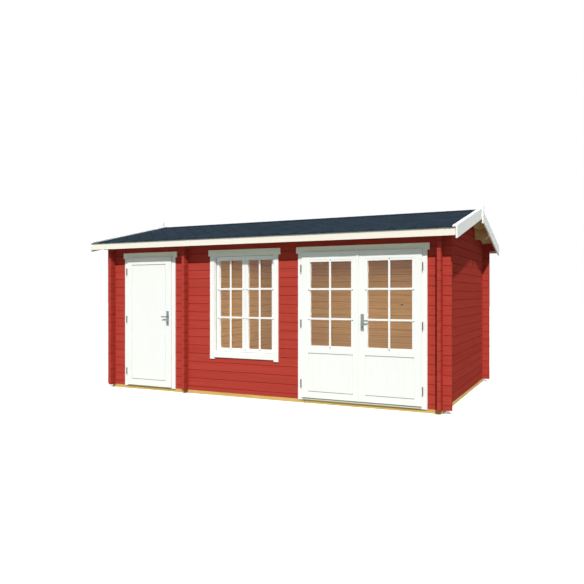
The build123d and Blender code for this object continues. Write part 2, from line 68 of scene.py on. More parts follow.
# Roof and floors
ROOF_PITCH = math.radians(13)
SLOPE = math.tan(ROOF_PITCH)
STEEP = 1 / math.cos(ROOF_PITCH)
BOARD_COVER = 0.096
BOARD_THICK = 0.018
BOARD_GAP = 0.0004
FLOOR_ARRIS = 0.0015
SHINGLE_THICK = 0.007
TAB_WIDE = 0.25                # shingle tabs, four to the metre
TAB_ROWS = 12
TAB_FILL = 0.992               # a tab's width as a share of its place in the row
RIDGE_SHOWN = 0.145            # how much shows of each lapped ridge shingle
FRONT_SEED = 11
BACK_SEED = 12
RIDGE_SEED = 5

# Casings
EAR = 0.027                    # how far a head board stands out beyond the side boards
SIDE_BOARD = 0.068
HEAD_FOOT = 1.888              # foot of the head boards
DOOR_CASING_FOOT = 0.041
WINDOW_CASING_FOOT = 0.496
APRON_FOOT = 0.518
DARKER_FOOT_HEIGHT = 0.075         # door frames turn a darker, yellower grey below it
ARRIS = 0.0015

# Doors
BEAD_WIDE = 0.025
GROOVE_WIDE = 0.009
DOOR_FIELD_Z = (0.152, 0.638)      # foot and head of the double door's sunk fields
SINGLE_FIELD_Z = (0.146, 1.798)
SINGLE_STILES = (0.084, 0.096)     # from the leaf's left and right edge to its sunk field
DOOR_BAR_LEVELS = (1.067, 1.4364)
DOOR_BAR_SUNK = 0.003              # from the leaf's face to the back of its bars
LOCK_Z = 1.055
KEY_DROP = 0.072                   # from the lever down to the keyhole

# Window
WINDOW_MEETING = -0.1935           # where the two sashes meet
MEETING_HALF = 0.0435              # from there to the glass
WINDOW_BAR_LEVELS = (1.059, 1.4425)
WINDOW_BAR_SHIFT = Vector((0.003, 0, 0))    # its bars stand a little to the right of the panes
WINDOW_INSIDE = (-0.646, 0.259)    # between the window's side boards
WINDOW_CLEAR_X = (-0.6415, 0.2545)
WINDOW_CLEAR_Z = (0.594, 1.886)

# Glazing bars and their clips
BAR_WIDE = 0.024
BAR_DEEP = 0.012
BAR_LAP = 0.010                    # how far the bars lap the frame round the glass
BAR_FOOT_LAP = 0.004
CLIP_HALF = (0.0055, 0.009)        # half the width and half the height of an upright clip
CLIP_THICK = 0.0025

# Screws
HEAD_STANDS = 0.0010               # height of a head
HEAD_SUNK = 0.0006                 # how deep its foot sits in the board
FASCIA_SCREWS = [-2.55 + 0.51 * number for number in range(11)]
FASCIA_SCREW_ROWS = (2.045, 2.085)
BARGE_SCREWS = (-1.60, -1.20, -0.745, -0.35, 0.35, 0.745, 1.20, 1.60)
BARGE_SCREW_DROPS = (0.030, 0.095)

# Light and camera
SKY_LEVEL = 0.345                  # the sky's light on the cabin, where 1 is white
SKY_TINT = (0.845, 0.99, 1.0, 1)
FLOOR_SEEN = (0.99, 0.99, 0.99, 1)
FLOOR_BOUNCE = (0.31, 0.36, 0.34, 1)
FLOOR_GLOW = 0.3
KEY_TRAVEL = (-0.41, 1.0, -0.97)
KEY_STRENGTH = 3.41
KEY_COLOUR = (1.0, 0.985, 0.95)
FILL_TRAVEL = (0.5, -0.8, -0.35)
FILL_STRENGTH = 0.8
ROOM_LAMP_PLACE = (0.7, 0.0, 1.86)
ROOM_LAMP_SIZE = (2.6, 1.6)
ROOM_LAMP_POWER = 25
CAMERA_PLACE = (3.9360, -8.5615, 1.3799)
CAMERA_TURN = 0.4496
CAMERA_LENS = 37.9412
CAMERA_SHIFT = 0.002838

# Colours, as light reflected in red, green and blue
WHITE = (1, 1, 1, 1)
RED_PAINT = (0.469, 0.057, 0.041, 1)
RED_THIN = (0.505, 0.072, 0.054, 1)
RED_DEEP = (0.391, 0.041, 0.030, 1)
# dark red painted along each seam as the shadow in its groove
RED_SEAM_SHADOW = (0.150, 0.007, 0.005, 1)
PINE = (0.625, 0.383, 0.130, 1)
PINE_DARK = (0.440, 0.230, 0.070, 1)
ROOF_PINE = (0.680, 0.500, 0.230, 1)
ROOF_PINE_DARK = (0.520, 0.360, 0.140, 1)
# dark brown of the knots, also painted as shade in the pine's seams and beside the beams' butt joint
KNOT_AND_SEAM_SHADE = (0.150, 0.060, 0.022, 1)
TREATED = (0.800, 0.540, 0.180, 1)
TREATED_DARK = (0.560, 0.330, 0.090, 1)
WHITE_PAINT = (0.915, 0.902, 0.890, 1)
WHITE_WORN = (0.875, 0.863, 0.850, 1)
# warm white painted on the head boards for the light that the pine soffit above throws on them
HEAD_WARM_LIGHT_TINT = (0.930, 0.935, 0.790, 1)
THRESHOLD_PAINT = (0.600, 0.590, 0.460, 1)
# grey of the seals, which also paints in the shade of gaps and grooves
SEAL_AND_SHADE_GREY = (0.310, 0.300, 0.285, 1)
SEAL_AND_SHADE_DARK = (0.230, 0.225, 0.210, 1)
CREAM_PAINT = (0.915, 0.840, 0.750, 1)
CREAM_WORN = (0.870, 0.785, 0.685, 1)
SHINGLE_DARK = (0.023, 0.036, 0.052, 1)
SHINGLE_PALE = (0.037, 0.054, 0.075, 1)
GRIT = (0.085, 0.105, 0.130, 1)
# black of bare asphalt, also painted as shade round the shingle tabs and under the window casing's feet
BITUMEN_AND_SHADE_BLACK = (0.004, 0.005, 0.006, 1)
STEEL_DARK = (0.090, 0.125, 0.135, 1)
STEEL_PALE = (0.375, 0.425, 0.430, 1)
BLACKENED = (0.045, 0.058, 0.058, 1)
ZINC = (0.190, 0.180, 0.170, 1)
ZINC_DARK = (0.100, 0.095, 0.090, 1)
GLASS_COOL = (0.97, 0.985, 0.98, 1)
GLASS_CLEAR = (0.99, 1.0, 0.995, 1)
GLASS_SHADOW = (0.97, 0.98, 0.975, 1)


class Nodes:
    """A tree of nodes being filled: each call adds to it and gives the new output."""

    def __init__(self, tree):
        self.tree = tree

    def node(self, kind, inputs, **settings):
        made = self.tree.nodes.new(kind)
        for name, value in settings.items():
            setattr(made, name, value)
        for name, value in inputs.items():
            self.feed(made.inputs[name], value)
        return made

    def feed(self, socket, value):
        if isinstance(value, bpy.types.NodeSocket):
            self.tree.links.new(value, socket)
        else:
            socket.default_value = value

    def math(self, operation, *values):
        return self.node("ShaderNodeMath", dict(enumerate(values)), operation=operation).outputs[0]

    def join(self, x, y, z):
        return self.node("ShaderNodeCombineXYZ", {0: x, 1: y, 2: z}).outputs[0]

    def between(self, value, low, high, start=0.0, end=1.0):
        """Runs smoothly from start to end while value goes from low to high."""
        made = self.node("ShaderNodeMapRange", {0: value, 1: low, 2: high, 3: start, 4: end},
                         interpolation_type="SMOOTHSTEP")
        return made.outputs[0]

    def mix(self, factor, first, second, blend="MIX"):
        made = self.node("ShaderNodeMix", {0: factor, 6: first, 7: second}, data_type="RGBA",
                         blend_type=blend)
        return made.outputs[2]

    def wave(self, phase):
        """Swings between 0 and 1 as the phase grows."""
        return self.math("MULTIPLY_ADD", self.math("SINE", phase), 0.5, 0.5)

    def seen_directly(self):
        """1 where the camera, a mirror or a pane looks straight at it."""
        path = self.node("ShaderNodeLightPath", {}).outputs
        seen = self.math("MAXIMUM", path["Is Camera Ray"], path["Is Glossy Ray"])
        return self.math("MAXIMUM", seen, path["Is Transmission Ray"])


class Finish(Nodes):
    """A material being made."""

    def __init__(self, name):
        self.material = bpy.data.materials.new(name)
        self.material.use_nodes = True
        super().__init__(self.material.node_tree)
        self.shader = self.tree.nodes["Principled BSDF"]
        self.place = self.node("ShaderNodeTexCoord", {})

    def axes(self):
        """The place on the piece as separate X, Y and Z."""
        return self.node("ShaderNodeSeparateXYZ", {0: self.place.outputs["Object"]}).outputs

    def facing(self, axis):
        """How squarely the surface faces along an axis, from 0 to 1."""
        parts = self.node("ShaderNodeSeparateXYZ", {0: self.place.outputs["Normal"]}).outputs
        return self.math("ABSOLUTE", parts[AXIS[axis]])

    def noise(self, vector, scale, detail=3.0, roughness=0.55):
        made = self.node("ShaderNodeTexNoise", {"Vector": vector, "Scale": scale, "Detail": detail,
                                                "Roughness": roughness})
        return made.outputs["Fac"]

    def written(self, name):
        """A value that the mesh itself carries."""
        return self.node("ShaderNodeAttribute", {}, attribute_name=name).outputs["Fac"]

    def own_value(self, number):
        """A value from 0 to 1 for each whole number, such as each log's."""
        return self.node("ShaderNodeTexWhiteNoise", {"W": number}, noise_dimensions="1D").outputs["Value"]

    def toned(self, colour, tone, darkest, palest):
        """Darkens or lightens a colour as tone goes from 0 to 1."""
        lift = self.between(tone, 0.0, 1.0, darkest, palest)
        return self.mix(1.0, colour, self.join(lift, lift, lift), "MULTIPLY")

    def finish(self, colour, roughness, height=None, depth=0.001, strength=1.0, specular=0.5):
        self.feed(self.shader.inputs["Base Color"], colour)
        self.feed(self.shader.inputs["Specular IOR Level"], specular)
        self.feed(self.shader.inputs["Roughness"], roughness)
        if height is not None:
            bump = self.node("ShaderNodeBump", {"Height": height, "Distance": depth,
                                                "Strength": strength})
            self.feed(self.shader.inputs["Normal"], bump.outputs[0])
        return self.material


def streaks(mix, run, across, deep, shift, fineness=1.0):
    """Wood fibre drawn out along run: long soft streaks and fine hairlines."""
    made = []
    for along, crowd, detail in ((0.9, SOFT_STREAKS, 4.0), (5.0, HAIRLINES, 2.0)):
        place = mix.join(mix.math("MULTIPLY_ADD", run, along, shift),
                         mix.math("MULTIPLY", across, crowd * fineness),
                         mix.math("MULTIPLY", deep, crowd * fineness))
        made.append(mix.noise(place, 1.0, detail))
    return made


def growth_rings(mix, run, across, deep, shift):
    """The rings of a trunk cut lengthwise, bent round scattered knots. Gives the rings and the knots."""
    cell = mix.join(mix.math("MULTIPLY_ADD", run, 3.2, shift), mix.math("MULTIPLY", across, 4.4),
                    mix.math("ADD", mix.math("MULTIPLY", deep, 2.0), shift))
    knot = mix.node("ShaderNodeTexVoronoi", {"Vector": cell, "Scale": 1.0, "Randomness": 1.0}).outputs
    draw = mix.node("ShaderNodeSeparateXYZ", {0: knot["Color"]}).outputs[0]
    chosen = mix.math("LESS_THAN", draw, KNOT_SHARE)
    near = mix.between(knot["Distance"], 0.32, 0.0)
    bend = mix.math("MULTIPLY", mix.math("MULTIPLY", near, chosen), 2.4)
    slow = mix.join(mix.math("MULTIPLY_ADD", run, 0.8, shift), mix.math("MULTIPLY", across, 5.0), deep)
    sway = mix.math("MULTIPLY", mix.noise(slow, 1.0, 2.0), 26.0)
    rings = mix.wave(mix.math("ADD", mix.math("MULTIPLY_ADD", across, TRUNK_RINGS, sway), bend))
    core = mix.math("MULTIPLY", mix.between(knot["Distance"], 0.075, 0.045), chosen)
    return rings, core


def bare_wood(mix, run, across, deep, shift, pale=PINE, dark=PINE_DARK):
    """Colour and height of planed softwood."""
    soft, hair = streaks(mix, run, across, deep, shift)
    rings, knots = growth_rings(mix, run, across, deep, shift)
    figure = mix.math("MULTIPLY", mix.between(rings, 0.35, 1.0), mix.between(soft, 0.25, 0.75, 0.15, 0.60))
    colour = mix.mix(figure, pale, dark)
    colour = mix.mix(mix.between(hair, 0.45, 0.75, 0.0, 0.35), colour, dark)
    colour = mix.mix(knots, colour, KNOT_AND_SEAM_SHADE)
    height = mix.math("ADD", mix.math("MULTIPLY", figure, 0.5), mix.math("MULTIPLY", hair, 0.5))
    return colour, height


def end_rings(mix, across, deep, shift):
    """Growth rings on a sawn end, round a heart that wanders from log to log."""
    heart = mix.math("MULTIPLY_ADD", shift, 0.004, -0.022)
    radius = mix.math("SQRT", mix.math("ADD", mix.math("POWER", mix.math("ADD", across, heart), 2.0),
                                       mix.math("POWER", deep, 2.0)))
    return mix.wave(mix.math("MULTIPLY", radius, SAWN_RINGS))


def log_wall_finish(name, along, middle, first_seam):
    """Red paint outside and bare pine inside, on logs of which each has its own tone and grain, with painted
    shade along every seam.
    """
    mix = Finish(name)
    x, y, z = mix.axes()
    run, deep = (x, y) if along == "X" else (y, x)
    course = mix.math("DIVIDE", mix.math("SUBTRACT", z, first_seam), LOG_HIGH)
    up = mix.math("MULTIPLY", mix.math("FRACT", course), LOG_HIGH)
    tone = mix.own_value(mix.math("FLOOR", course))
    shift = mix.math("MULTIPLY", tone, 17.0)
    soft, hair = streaks(mix, run, z, deep, shift)
    paint = mix.mix(mix.between(soft, 0.30, 0.70, 0.0, 0.5), RED_PAINT, RED_DEEP)
    paint = mix.mix(mix.between(hair, 0.55, 0.80, 0.0, 0.4), paint, RED_THIN)
    rings = end_rings(mix, mix.math("SUBTRACT", up, LOG_HIGH / 2),
                      mix.math("SUBTRACT", mix.math("ABSOLUTE", deep), middle), shift)
    sawn = mix.math("MULTIPLY", rings, mix.between(mix.facing(along), 0.6, 0.8))
    paint = mix.mix(mix.math("MULTIPLY", sawn, 0.3), paint, RED_DEEP)
    edge = mix.math("MINIMUM", up, mix.math("SUBTRACT", LOG_HIGH, up))
    # painted shade: the red darkens close to each seam, where the groove's shadow falls
    paint = mix.mix(mix.between(edge, SEAM_SHADE, 0.001, 0.0, 0.62), paint, RED_SEAM_SHADOW)
    pine, ridges = bare_wood(mix, run, z, deep, shift)
    # painted shade: the bare pine darkens to knot brown close to each seam
    pine = mix.mix(mix.between(edge, SEAM_SHADE_INSIDE, 0.001, 0.0, 0.65), pine, KNOT_AND_SEAM_SHADE)
    inside = mix.math("MULTIPLY", mix.math("LESS_THAN", mix.math("ABSOLUTE", x), GABLE_MIDDLE),
                      mix.math("LESS_THAN", mix.math("ABSOLUTE", y), LONG_MIDDLE))
    colour = mix.toned(mix.mix(inside, paint, pine), tone, 0.97, 1.03)
    height = mix.math("ADD", mix.math("MULTIPLY", hair, 0.6), mix.math("MULTIPLY", sawn, 0.4))
    height = mix.math("ADD", height, mix.math("MULTIPLY", mix.math("MULTIPLY", ridges, inside), 0.4))
    return mix.finish(colour, mix.between(soft, 0.3, 0.7, 0.80, 0.92), height, 0.0005, 1.0, 0.0)


def wood_finish(name, along, cover, pale=PINE, dark=PINE_DARK, joint=None):
    """Bare boards or beams with the grain along an axis; cover is the width over which the tone changes.

    A butt joint across the grain at joint gets painted shade beside it, for the shadow in its gap."""
    mix = Finish(name)
    x, y, z = mix.axes()
    run, across = (x, y) if along == "X" else (y, x)
    tone = mix.own_value(mix.math("FLOOR", mix.math("DIVIDE", across, cover)))
    shift = mix.math("MULTIPLY", tone, 23.0)
    colour, height = bare_wood(mix, run, mix.math("ADD", across, z), z, shift, pale, dark)
    colour = mix.toned(colour, tone, 0.86, 1.08)
    # painted shade: the wood darkens close to the butt joint
    if joint is not None:
        beside = mix.math("ABSOLUTE", mix.math("SUBTRACT", run, joint))
        colour = mix.mix(mix.between(beside, 0.005, 0.002), colour, KNOT_AND_SEAM_SHADE)
    return mix.finish(colour, mix.between(height, 0.2, 0.8, 0.55, 0.75), height, 0.0008, 1.0, 0.2)


def paint_finish(name, along, colour, worn, switch=None, foot=None):
    """Brushed paint on planed boards.

    Above the height switch the strokes run along X, and the white is warmed with painted light, for the light
    that the pine soffit above throws on the head boards. Below the height foot the paint turns a darker,
    yellower grey."""
    mix = Finish(name)
    x, y, z = mix.axes()
    run, across, deep = {"X": (x, z, y), "Y": (y, z, x), "Z": (z, x, y)}[along]
    soft, hair = streaks(mix, run, across, deep, 3.0, 1.3)
    if switch is not None:
        above = mix.math("GREATER_THAN", z, switch)
        flat_soft, flat_hair = streaks(mix, x, z, y, 9.0, 1.3)
        soft = mix.node("ShaderNodeMix", {0: above, 2: soft, 3: flat_soft}).outputs[0]
        hair = mix.node("ShaderNodeMix", {0: above, 2: hair, 3: flat_hair}).outputs[0]
    base = mix.mix(mix.between(soft, 0.35, 0.75, 0.0, 0.35), colour, worn)
    base = mix.mix(mix.between(hair, 0.55, 0.85, 0.0, 0.20), base, worn)
    if switch is not None:
        # painted light: the head boards' white is warmed, for the warm light from the pine soffit above
        base = mix.mix(mix.math("MULTIPLY", above, 0.8), base, HEAD_WARM_LIGHT_TINT)
    if foot is not None:
        # below the height foot the frame turns a darker, yellower grey
        base = mix.mix(mix.between(z, foot, foot - 0.012), base, THRESHOLD_PAINT)
    return mix.finish(base, mix.between(soft, 0.3, 0.7, 0.46, 0.58), hair, 0.0002, 1.0, 0.2)


def shingle_finish():
    """Mineral granules on asphalt: each tab has its own tone and a painted shadow line round its outline,
    with speckles of pale grit.
    """
    mix = Finish("mineral_shingle")
    place = mix.place.outputs["Object"]
    grit = mix.noise(place, 900.0, 2.0, 0.7)
    cloud = mix.noise(place, 9.0, 3.0)
    colour = mix.mix(mix.between(mix.written("tone"), 0.0, 1.0, 0.30, 0.70), SHINGLE_DARK, SHINGLE_PALE)
    # painted shadow: each tab darkens towards its outline
    colour = mix.mix(mix.between(mix.written("rim"), 0.91, 0.98, 0.0, 0.55), colour, BITUMEN_AND_SHADE_BLACK)
    colour = mix.mix(mix.between(cloud, 0.35, 0.70, 0.0, 0.25), colour, SHINGLE_DARK)
    # the tabs' sides turn black: bare asphalt at the cut edges, and painted shade under each edge
    colour = mix.mix(mix.between(mix.facing("Z"), 0.8, 0.5, 0.0, 0.9), colour, BITUMEN_AND_SHADE_BLACK)
    colour = mix.mix(mix.between(grit, 0.60, 0.75, 0.0, 0.5), colour, GRIT)
    return mix.finish(colour, 1.0, grit, 0.0010, 0.8, 0.0)


def metal_finish(name, pale, dark, roughness):
    """Brushed metal, with fine upright lines."""
    mix = Finish(name)
    x, y, z = mix.axes()
    soft, hair = streaks(mix, z, x, y, 1.0, 8.0)
    colour = mix.mix(mix.between(hair, 0.35, 0.7), pale, dark)
    mix.feed(mix.shader.inputs["Metallic"], 1.0)
    return mix.finish(colour, mix.between(soft, 0.3, 0.7, roughness, roughness + 0.12), hair, 0.0001, 0.5)


def glass_finish():
    """Clear float glass that lets the lamps through, with a faint waviness."""
    mix = Finish("window_pane")
    wave = mix.noise(mix.place.outputs["Object"], 2.5, 1.0)
    mix.feed(mix.shader.inputs["Transmission Weight"], 1.0)
    mix.feed(mix.shader.inputs["IOR"], 1.45)
    mix.finish(mix.mix(wave, GLASS_COOL, GLASS_CLEAR), 0.0, wave, 0.0004, 0.2)
    path = mix.node("ShaderNodeLightPath", {})
    clear = mix.node("ShaderNodeBsdfTransparent", {"Color": GLASS_SHADOW})
    both = mix.node("ShaderNodeMixShader", {0: path.outputs["Is Shadow Ray"],
                                            1: mix.shader.outputs[0], 2: clear.outputs[0]})
    mix.feed(mix.tree.nodes["Material Output"].inputs["Surface"], both.outputs[0])
    return mix.material


def piece(name, bm, material, body, replaces=()):
    """Turns a finished bmesh into a piece that rides on a body."""
    mesh = bpy.data.meshes.new(name)
    bm.to_mesh(mesh)
    bm.free()
    mesh.materials.append(material)
    made = bpy.data.objects.new(name, mesh)
    bpy.context.scene.collection.objects.link(made)
    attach(made, body)
    if replaces:
        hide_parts(*replaces)


def each_once(found):
    """What was found, without repeats and in the order of finding."""
    return list(dict.fromkeys(found))


def squared(bm, low, high, arris=0.0, only=None):
    """A squared timber between two corners, its arrises taken off; only names the axis they run along."""
    low, high = Vector(low), Vector(high)
    place = Matrix.Translation((low + high) / 2) @ Matrix.Diagonal((*(high - low), 1))
    corners = bmesh.ops.create_cube(bm, size=1.0, matrix=place)["verts"]
    if arris:
        edges = each_once(edge for corner in corners for edge in corner.link_edges)
        if only:
            edges = [e for e in edges if abs((e.verts[1].co - e.verts[0].co).normalized()[AXIS[only]]) > 0.9]
        bmesh.ops.bevel(bm, geom=edges, offset=arris, offset_type="OFFSET", affect="EDGES",
                        segments=1, profile=0.5, material=-1)
    return corners


def laid_boards(bm, low, high, across, run, cover, joint):
    """Boards side by side across a box, each with chamfered long edges, so that V joints show."""
    step = AXIS[across]
    count = round((high[step] - low[step]) / cover)
    wide = (high[step] - low[step]) / count
    for number in range(count):
        near, far = Vector(low), Vector(high)
        near[step] = low[step] + number * wide
        far[step] = near[step] + wide - BOARD_GAP
        squared(bm, near, far, joint, run)


def fold_on_roof(bm, ridge):
    """Bends what was laid flat at height zero over the ridge line, down both slopes."""
    for vert in bm.verts:
        vert.co.z = ridge + vert.co.z * STEEP - SLOPE * abs(vert.co.y)


def turned(out):
    """Turns what points up so that it points out."""
    return Vector((0, 0, 1)).rotation_difference(Vector(out)).to_matrix().to_4x4()


def screw_head(bm, place, out, radius, height):
    """A low countersunk head; out is the way that it faces."""
    matrix = Matrix.Translation(Vector(place) + Vector(out) * height / 2) @ turned(out)
    bmesh.ops.create_cone(bm, cap_ends=True, segments=10, radius1=radius, radius2=radius * 0.8,
                          depth=height, matrix=matrix)


def give_tone(corners, tone, value):
    """Writes one tone on every face that meets these corners."""
    for face in each_once(face for corner in corners for face in corner.link_faces):
        face[tone] = value


def everything(bm):
    return bm.verts[:] + bm.edges[:] + bm.faces[:]


def roof_boards(name, side, replaced, finish):
    """Boards from gable to gable on one slope, seen from below."""
    low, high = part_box(replaced)
    bm = bmesh.new()
    y = sorted((0.0, side * max(abs(low.y), abs(high.y))))
    laid_boards(bm, (low.x, y[0], -BOARD_THICK), (high.x, y[1], 0.0), "X", "Y", BOARD_COVER, 0.003)
    fold_on_roof(bm, high.z)
    piece(name, bm, finish, "cabin", [replaced])


def shingle_courses(name, side, replaced, finish, seed):
    """Rows of six-sided tabs from the eave to the ridge over a starter sheet."""
    low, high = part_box(replaced)
    eave = max(abs(low.y), abs(high.y))
    sheet, tab = SHINGLE_THICK * 0.34, SHINGLE_THICK * 0.33
    draw = random.Random(seed)
    bm = bmesh.new()
    tone = bm.faces.layers.float.new("tone")
    rim = bm.verts.layers.float.new("rim")
    row_deep = eave / TAB_ROWS
    columns = math.ceil((high.x - low.x) / TAB_WIDE) + 1
    tilt = Matrix.Rotation(-side * tab / row_deep * 0.5, 4, "X")
    shape = Matrix.Diagonal((TAB_WIDE / 2 * TAB_FILL, row_deep / math.sin(math.radians(60)), 1, 1))
    laid = tilt @ shape @ Matrix.Rotation(math.radians(90), 4, "Z")
    for row in range(TAB_ROWS):
        for column in range(columns):
            x = low.x + (column + (row % 2) / 2 - 0.5) * TAB_WIDE
            y = side * (eave - row_deep * (row + 1))
            place = Matrix.Translation((x, y, sheet + tab)) @ laid
            corners = bmesh.ops.create_cone(bm, cap_ends=True, cap_tris=True, segments=6, radius1=1.0,
                                            radius2=0.985, depth=tab, matrix=place)["verts"]
            # marks each tab's outline, where the painted shadow line is drawn
            for corner in corners:
                corner[rim] = float(len(corner.link_edges) < 6)
            give_tone(corners, tone, draw.random())
    for point, normal in (((low.x, 0, 0), (-1, 0, 0)), ((high.x, 0, 0), (1, 0, 0)),
                          ((0, 0, 0), (0, -side, 0))):
        cut = bmesh.ops.bisect_plane(bm, geom=everything(bm), dist=1e-6, plane_co=point, plane_no=normal,
                                     clear_outer=True)
        rims = [g for g in cut["geom_cut"] if isinstance(g, bmesh.types.BMEdge)]
        bmesh.ops.holes_fill(bm, edges=rims, sides=0)
    y = sorted((0.0, side * eave))
    squared(bm, (low.x, y[0], 0.0), (high.x, y[1], sheet))
    fold_on_roof(bm, high.z - SHINGLE_THICK * STEEP)
    piece(name, bm, finish, "cabin", [replaced])


def ridge_shingles(finish, seed):
    """Strips that lap each other along the ridge, each folded down both slopes."""
    low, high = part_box("ridge_cap")
    draw = random.Random(seed)
    bm = bmesh.new()
    tone = bm.faces.layers.float.new("tone")
    thick, rise = 0.002, 0.002
    count = round((high.x - low.x) / RIDGE_SHOWN)
    shown = (high.x - low.x) / count
    for number in range(count):
        x = low.x + number * shown
        end = min(x + shown * 2, high.x)
        corners = squared(bm, (x, low.y, 0.0), (end, high.y, thick))
        for corner in corners:
            corner.co.z += rise * (1 - (corner.co.x - x) / (shown * 2))
        give_tone(corners, tone, draw.random())
    bmesh.ops.bisect_plane(bm, geom=everything(bm), dist=1e-6, plane_co=(0, 0, 0), plane_no=(0, 1, 0))
    fold_on_roof(bm, high.z - (thick + rise) * STEEP)
    piece("ridge_cap_shingles", bm, finish, "cabin", ["ridge_cap"])


def floor_boards(name, node, door_frame, finish):
    """A room's floorboards, with a board at each side of the door frame in front of them."""
    low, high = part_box(node)
    frame_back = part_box("single_door_frame")[1].y
    bm = bmesh.new()
    laid_boards(bm, (low.x, frame_back, low.z), (high.x, high.y, high.z), "Y", "X", BOARD_COVER, FLOOR_ARRIS)
    door_low, door_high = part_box(door_frame)
    for start, end in ((low.x, door_low.x), (door_high.x, high.x)):
        squared(bm, (start, low.y, low.z), (end, frame_back - 0.0005, high.z), FLOOR_ARRIS, "X")
    piece(name, bm, finish, "cabin", [node])


def bar_grid(bm, x_lines, z_lines, y, deep, moulding):
    """Glazing bars as one lattice: the cells between paired lines stay open, and the front is moulded."""
    columns, rows = len(x_lines) - 1, len(z_lines) - 1
    grid = bmesh.ops.create_grid(bm, x_segments=columns, y_segments=rows, size=0.5,
                                 matrix=Matrix.Rotation(math.radians(90), 4, "X"))["verts"]
    for vert in grid:
        column = round((vert.co.x + 0.5) * columns)
        row = round((vert.co.z + 0.5) * rows)
        vert.co = (x_lines[column], y, z_lines[row])
    faces = each_once(face for vert in grid for face in vert.link_faces)
    open_cells = [f for f in faces if not on_a_bar(f.calc_center_median(), x_lines, z_lines)]
    bmesh.ops.delete(bm, geom=open_cells, context="FACES")
    kept = [f for f in faces if f.is_valid]
    grown = bmesh.ops.extrude_face_region(bm, geom=kept)["geom"]
    front = [g for g in grown if isinstance(g, bmesh.types.BMVert)]
    bmesh.ops.translate(bm, verts=front, vec=(0, -deep, 0))
    rim = [e for e in each_once(e for v in front for e in v.link_edges)
           if all(abs(v.co.y - (y - deep)) < 1e-6 for v in e.verts)
           and any(abs(f.normal.y) < 0.5 for f in e.link_faces)]
    bm.normal_update()
    bmesh.ops.bevel(bm, geom=rim, offset=moulding, offset_type="OFFSET", affect="EDGES", segments=3,
                    profile=0.5, material=-1)


def on_a_bar(place, x_lines, z_lines):
    """True where a point lies on a bar, which fills every second strip between the lines."""
    column = sum(place.x > line for line in x_lines) - 1
    row = sum(place.z > line for line in z_lines) - 1
    return column % 2 == 1 or row % 2 == 1


def glazing_bars(name, glass_low, glass_high, face, levels, body, finish):
    """One upright and two level bars in front of a pane, lapping its frame."""
    middle = (glass_low.x + glass_high.x) / 2
    x_lines = [glass_low.x - BAR_LAP, middle - BAR_WIDE / 2, middle + BAR_WIDE / 2, glass_high.x + BAR_LAP]
    z_lines = [glass_low.z - BAR_FOOT_LAP]
    for level in levels:
        z_lines += [level - BAR_WIDE / 2, level + BAR_WIDE / 2]
    z_lines.append(glass_high.z + BAR_LAP)
    bm = bmesh.new()
    bar_grid(bm, x_lines, z_lines, face, BAR_DEEP, 0.003)
    bmesh.ops.recalc_face_normals(bm, faces=bm.faces[:])
    piece(name, bm, finish, body)
    return levels, middle, x_lines, z_lines


def bar_ends(levels, middle, x_lines, z_lines, foot, at_head=True):
    """Where the clips sit: just past and below the level bars' ends, and past the upright's foot and head."""
    places = [(x_lines[0] - 0.010, level - 0.012, False) for level in levels]
    places += [(x_lines[-1] + 0.006, level - 0.012, False) for level in levels]
    places.append((middle, z_lines[0] - foot, True))
    if at_head:
        places.append((middle, z_lines[-1] + 0.010, True))
    return places


def bar_clips(name, places, face, body, finish):
    """Small steel turn buttons that hold the bars at their ends."""
    bm = bmesh.new()
    front = face - CLIP_THICK
    for x, z, upright in places:
        half = CLIP_HALF if upright else CLIP_HALF[::-1]
        squared(bm, (x - half[0], front, z - half[1]), (x + half[0], face, z + half[1]), 0.0008)
        screw_head(bm, (x, front, z), (0, -1, 0), 0.0035, 0.001)
    piece(name, bm, finish, body)


def strip_frame(bm, low, high, wide, y, arris=0.0):
    """Flat strips round an opening, outside the line from low to high."""
    (left, foot), (right, head) = low, high
    for start, end in (((left - wide, foot), (left, head)), ((right, foot), (right + wide, head)),
                       ((left - wide, head), (right + wide, head + wide)),
                       ((left - wide, foot - wide), (right + wide, foot))):
        squared(bm, (start[0], y[0], start[1]), (end[0], y[1], end[1]), arris)


def inner_beads(name, low, high, back, body, finish):
    """Flat mouldings round a pane on the room side of its leaf or sash."""
    bm = bmesh.new()
    strip_frame(bm, (low.x, low.z), (high.x, high.z), 0.018, (back - 0.0005, back + 0.004), 0.0015)
    piece(name, bm, finish, body)


def panel_boards(name, x, z, face, body, finish):
    """Tongued upright boards in a sunk field, chamfered at the joints and clear of the grooves round it."""
    bm = bmesh.new()
    laid_boards(bm, (x[0] + GROOVE_WIDE, face + 0.001, z[0] + GROOVE_WIDE),
                (x[1] - GROOVE_WIDE, face + 0.0045, z[1] - GROOVE_WIDE), "X", "Z", 0.062, 0.0024)
    piece(name, bm, finish, body)


def groove_shade_strips(name, x, z, faces, body, finish):
    """Rubber strips in the grooves along the upper and lower edges of a sunk field, on both faces of the
    leaf; their dark grey paints in the grooves' shade.
    """
    bm = bmesh.new()
    ease = 0.0003
    for face, inward in ((faces[0], 1), (faces[1], -1)):
        y = sorted((face + inward * 0.003, face + inward * 0.0095))
        for start in (z[0] + ease, z[1] - GROOVE_WIDE + ease):
            squared(bm, (x[0] + ease, y[0], start), (x[1] - ease, y[1], start + GROOVE_WIDE - 2 * ease))
    piece(name, bm, finish, body)


def head_seal_and_shade(name, low, high, body, finish):
    """Rubber seal on the back of a leaf's lip, just proud of its upper edge; its dark grey paints in the
    shade of the gap above the leaf.
    """
    bm = bmesh.new()
    inset, wide = 0.004, 0.0065
    squared(bm, (low.x + inset - wide, low.y + 0.0118, high.z - inset),
            (high.x - inset + wide, low.y + 0.0148, high.z - inset + wide))
    piece(name, bm, finish, body)


